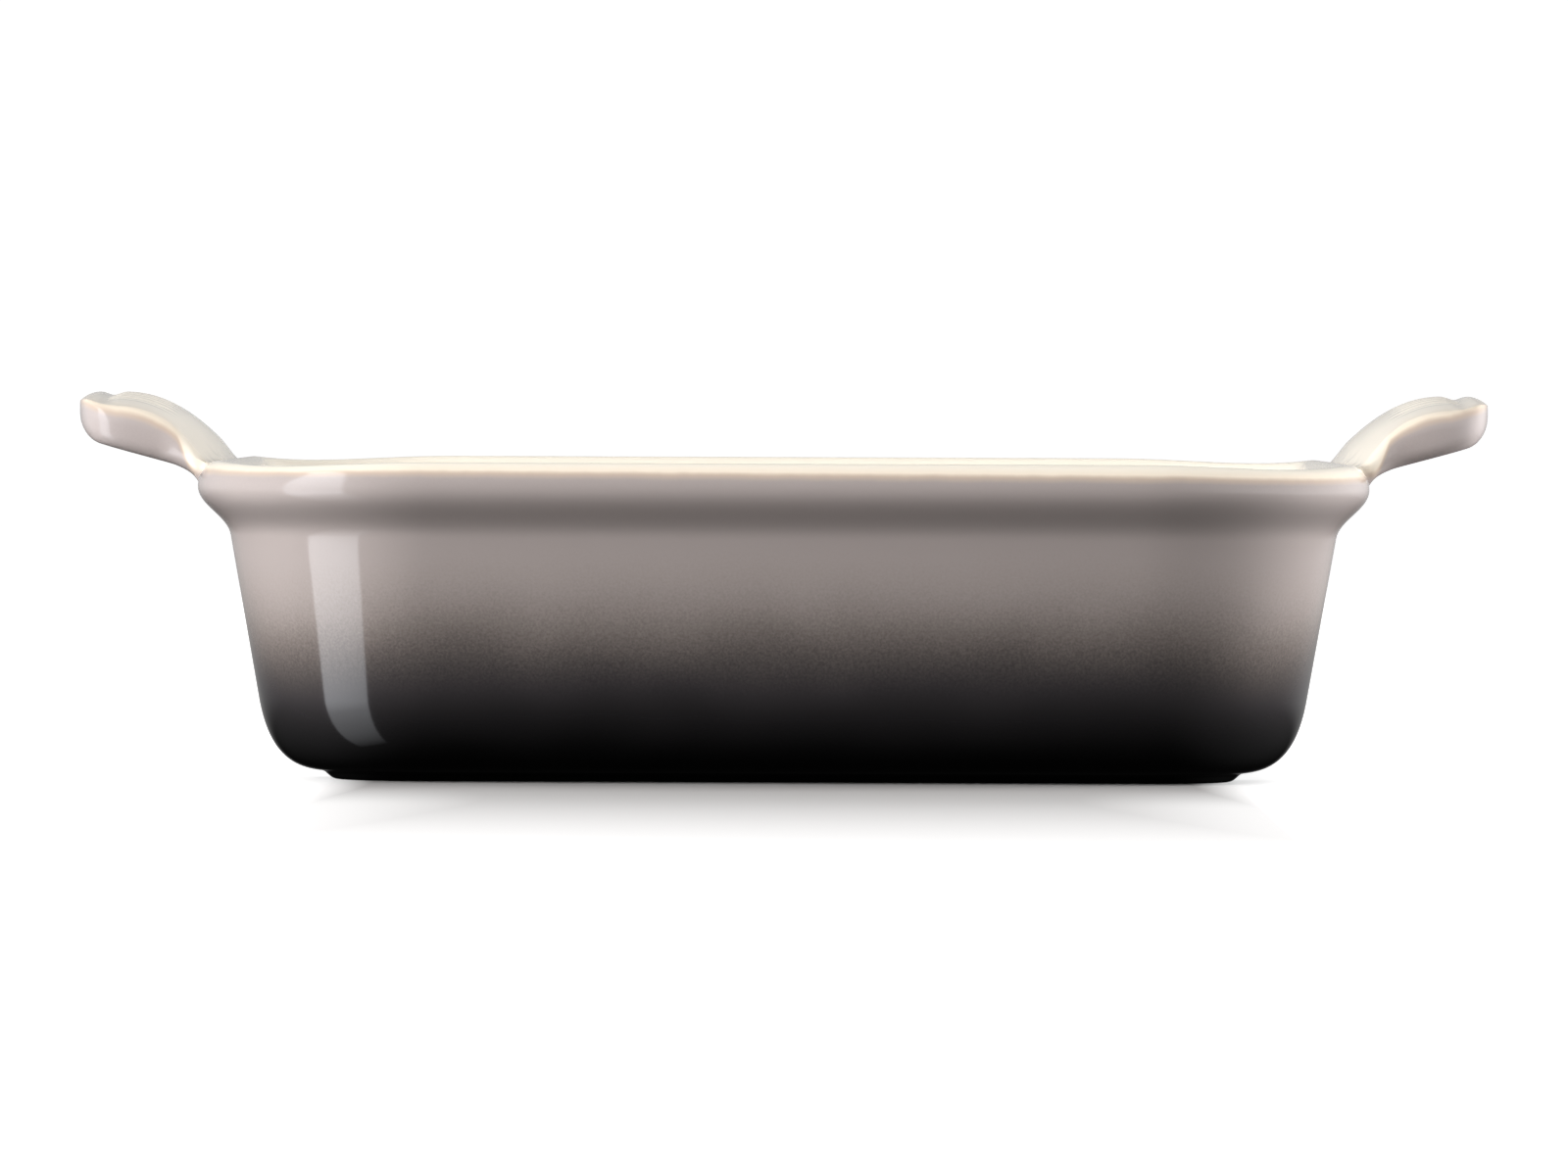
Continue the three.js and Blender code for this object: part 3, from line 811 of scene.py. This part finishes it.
def handleDistance(points):
    x, y, z = points.T
    step = 0.05
    x = np.minimum(x, tipX - root["tipClear"])
    top = (z - handleTop(x, y)) / steepness(handleTop, x, y)
    under = (handleUnder(x, y) - z) / steepness(handleUnder, x, y)
    outward = (outlineHalf(x + step) - outlineHalf(x - step)) / (2 * step)
    side = (np.abs(y) - outlineHalf(x)) / np.sqrt(1 + outward ** 2)
    return np.maximum(roundedCorner(top, side, handleSize["upperEdge"]),
                      roundedCorner(under, side, handleSize["lowerEdge"]))


def rootFields(points):
    rim, own = rimDistance(points), handleDistance(points)
    # the fillet tightens towards the crest of the rim and under the handle
    below, least = root["underFade"], root["tightest"]
    wide = shareOf(points[:, 0], rootEnd, rootEnd + root["crestFade"])
    wide = wide * shareOf(points[:, 2], rimHeight - below[0], rimHeight - below[1])
    blend = handleSize["blend"] * (least + (1 - least) * eased(wide))
    overlap = np.maximum(blend - np.abs(rim - own), 0) / blend
    return np.minimum(rim, own) - overlap ** 2 * blend / 4, own - rim, blend


def rootSlopes(points):
    step = 0.02
    surface, flow, blend = rootFields(points)
    moved = [rootFields(points + step * axis) for axis in np.eye(3)]
    surfaceSlope = np.column_stack([(near[0] - surface) / step for near in moved])
    flowSlope = np.column_stack([(near[1] - flow) / step for near in moved])
    return surface, flow, blend, surfaceSlope, flowSlope


def rimOutwards(points):
    step = 0.02
    here = rimDistance(points)
    return np.column_stack([(rimDistance(points + step * axis) - here) / step for axis in np.eye(3)])


def ontoSurface(points, target=None, lift=0, repeats=6, longest=0.8):
    flattest = 0.05
    for repeat in range(repeats):
        surface, flow, blend, up, along = rootSlopes(points)
        surface = surface - lift
        steep = np.maximum((up ** 2).sum(1), flattest)
        move = -(surface / steep)[:, None] * up
        if target is not None:
            along = along - ((along * up).sum(1) / steep)[:, None] * up
            # straight down to the rim but for the two ends, till the fillet has run out
            along[:, 1] *= shareOf(np.abs(points[:, 1]), *root["straight"])
            onWay = (points[:, 0] > rootEnd + hair) & (flow < blend + root["runOut"])
            move += (onWay * (target - flow) / np.maximum((along ** 2).sum(1), flattest))[:, None] * along
        length = np.maximum(np.linalg.norm(move, axis=1), 1e-9)
        points = points + move * np.minimum(1, longest / length)[:, None]
        points[:, 0] = np.maximum(points[:, 0], rootEnd)
    return points


def rightHandleLoops():
    size = handleSize
    start, fade = rimHalf + size["blendFrom"], rimHalf + size["blendTo"]
    places = start + (tipX - start) * np.sin(np.radians(np.linspace(90, 0, size["loops"])))
    loops = [handleLoop(x) for x in places]
    for number, x in enumerate(places):
        if x < fade:
            soft = eased(shareOf(x, fade, start))
            loops[number] = loops[number] + soft * (ontoSurface(loops[number]) - loops[number])
    path = [loops[-1]]
    begin = rootFields(path[0])[1]
    end = size["blend"] + root["flowPast"]
    rows = root["rows"]
    for row in range(1, rows + 1):
        points = ontoSurface(path[-1], begin + (end - begin) * row / rows)
        even = points
        for repeat in range(root["evenings"]):
            even = (np.roll(even, 1, axis=0) + 2 * even + np.roll(even, -1, axis=0)) / 4
        path.append(ontoSurface(points + (even - points) * row / rows, repeats=2))
    # spread evenly along each path
    path = np.array(path)
    along = np.cumsum(np.linalg.norm(np.diff(path, axis=0, prepend=path[:1]), axis=2), axis=0)
    for row in range(1, rows + 1):
        points = np.array([
            [np.interp(away[-1] * row / rows, away, line[:, axis]) for axis in range(3)]
            for away, line in zip(along.T, path.transpose(1, 0, 2))
        ])
        # sinks a hair into the rim by its end, and more below, where the two run side by side
        below = shareOf(points[:, 2], *[rimHeight - drop for drop in root["belowFrom"]])
        sink = (root["sink"] + root["sinkBelow"] * below) * row / rows
        points = ontoSurface(points, lift=-sink, repeats=3)
        first, last = (rows - before for before in root["pullRows"])
        pull = shareOf(row, first, last) ** 2
        depth = root["pullDepth"] + root["lastDepth"] * shareOf(row, last, rows)
        loops.append(points - pull * (rimDistance(points) + depth)[:, None] * rimOutwards(points))
    # the last row dips under the glaze of the rim
    loops.append(loops[-1] - root["dip"] * rimOutwards(loops[-1]))
    return loops


def glazeRunOn(points):
    x, y, z = points.T
    turnEnd, turnStart = (rimHalf + reach for reach in handleSize["breakTurn"])
    turn = eased(shareOf(x, turnStart, turnEnd))
    near = np.minimum(x, tipX - hair)
    rootDrop, tipDrop = handleSize["breakDrop"]
    edge = topLine(near) - crown(near) * (outlineHalf(near) / sideHalf(near)) ** 2
    edge = edge - rootDrop - (tipDrop - rootDrop) * shareOf(x, flareX, tipX)
    line = edge + turn * (rimHeight - basinSize["glazeDrop"] - edge)
    return z - line


def ribTree():
    numbers = ("Pitch", "Depth", "Inner From", "Inner To", "Outer From", "Outer To", "Side From", "Side To")
    tree, given = newTree("ribsAlongTheGrip", "Handle", numbers, "Ribbed")
    place = addNode(tree, "GeometryNodeInputPosition").outputs["Position"]
    spot = addNode(tree, "ShaderNodeSeparateXYZ", {0: place}).outputs
    normal = addNode(tree, "GeometryNodeInputNormal").outputs["Normal"]
    upwards = addNode(tree, "ShaderNodeSeparateXYZ", {0: normal}).outputs["Z"]
    width = addNode(tree, "ShaderNodeMath", {0: spot["Y"]}, operation="ABSOLUTE").outputs["Value"]
    # grooves between the ribs: a cosine across the handle, faded out at the root, the lip and the sides
    turns = addNode(tree, "ShaderNodeMath", {0: width, 1: given["Pitch"]}, operation="DIVIDE")
    angle = addNode(tree, "ShaderNodeMath", {0: turns.outputs["Value"], 1: 2 * math.pi}, operation="MULTIPLY")
    wave = addNode(tree, "ShaderNodeMath", {0: angle.outputs["Value"]}, operation="COSINE")
    amount = addNode(tree, "ShaderNodeMapRange", {
        "Value": wave.outputs["Value"], "From Min": 1.0, "From Max": -1.0, "To Min": 0.0, "To Max": -1.0,
    }).outputs["Result"]
    fades = []
    for value, part in ((spot["X"], "Inner"), (spot["X"], "Outer"), (width, "Side")):
        fades.append(addNode(tree, "ShaderNodeMapRange", {
            "Value": value, "From Min": given[part + " From"], "From Max": given[part + " To"],
        }, interpolation_type="SMOOTHSTEP").outputs["Result"])
    fades.append(addNode(tree, "ShaderNodeMapRange", {
        "Value": upwards, "From Min": ribs["upwards"][0], "From Max": ribs["upwards"][1],
    }).outputs["Result"])
    for share in (*fades, given["Depth"]):
        amount = addNode(tree, "ShaderNodeMath", {0: amount, 1: share}, operation="MULTIPLY").outputs["Value"]
    push = addNode(tree, "ShaderNodeVectorMath", {0: normal, "Scale": amount}, operation="SCALE")
    ribbed = addNode(tree, "GeometryNodeSetPosition", {
        "Geometry": given["Handle"], "Offset": push.outputs["Vector"],
    })
    endTree(tree, ribbed.outputs["Geometry"], given["Glaze"], "Ribbed")
    return tree


def handlePiece(name):
    loops = rightHandleLoops()
    count = len(loops[0])
    points = np.concatenate(loops)
    around = np.arange(count)
    after = (around + 1) % count
    faces = [np.column_stack([row * count + around, row * count + after,
                              (row + 1) * count + after, (row + 1) * count + around])
             for row in range(len(loops) - 1)]
    faces = np.concatenate(faces).tolist()
    faces.append(around.tolist())
    faces.append(((len(loops) - 1) * count + around[::-1]).tolist())
    data = bpy.data.meshes.new(name)
    data.from_pydata((points * mm).tolist(), [], faces)
    run = data.attributes.new("glazeRun", "FLOAT", "POINT")
    run.data.foreach_set("value", glazeRunOn(points).astype(np.float32))
    mesh = bmesh.new()
    mesh.from_mesh(data)
    bmesh.ops.recalc_face_normals(mesh, faces=mesh.faces)
    mesh.to_mesh(data)
    mesh.free()
    piece = bpy.data.objects.new(name, data)
    scene.collection.objects.link(piece)
    values = {"Pitch": ribs["pitch"] * mm, "Depth": ribs["depth"] * mm, "Glaze": glaze,
              "Side From": ribs["side"][0] * mm, "Side To": ribs["side"][1] * mm}
    for end in ("inner", "outer"):
        values[end.title() + " From"] = (rimHalf + ribs[end][0]) * mm
        values[end.title() + " To"] = (rimHalf + ribs[end][1]) * mm
    runTree(piece, ribTree(), values)
    return piece


rightHandle = handlePiece("right_handle_glazed")
leftHandle = bpy.data.objects.new("left_handle_glazed", rightHandle.data.copy())
scene.collection.objects.link(leftHandle)
spots = np.empty(len(leftHandle.data.vertices) * 3)
leftHandle.data.vertices.foreach_get("co", spots)
leftHandle.data.vertices.foreach_set("co", (spots.reshape(-1, 3) * (-1, -1, 1)).ravel())  # half a turn
leftHandle.data.update()
print("handles made:", len(rightHandle.data.polygons), "faces each")

for piece, node, slotName in (
    (basin, "basin", "glaze"), (footRing, "foot_ring", "bare_clay"),
    (leftHandle, "left_handle", "glaze"), (rightHandle, "right_handle", "glaze"),
):
    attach(piece, "root")
    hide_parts(node)
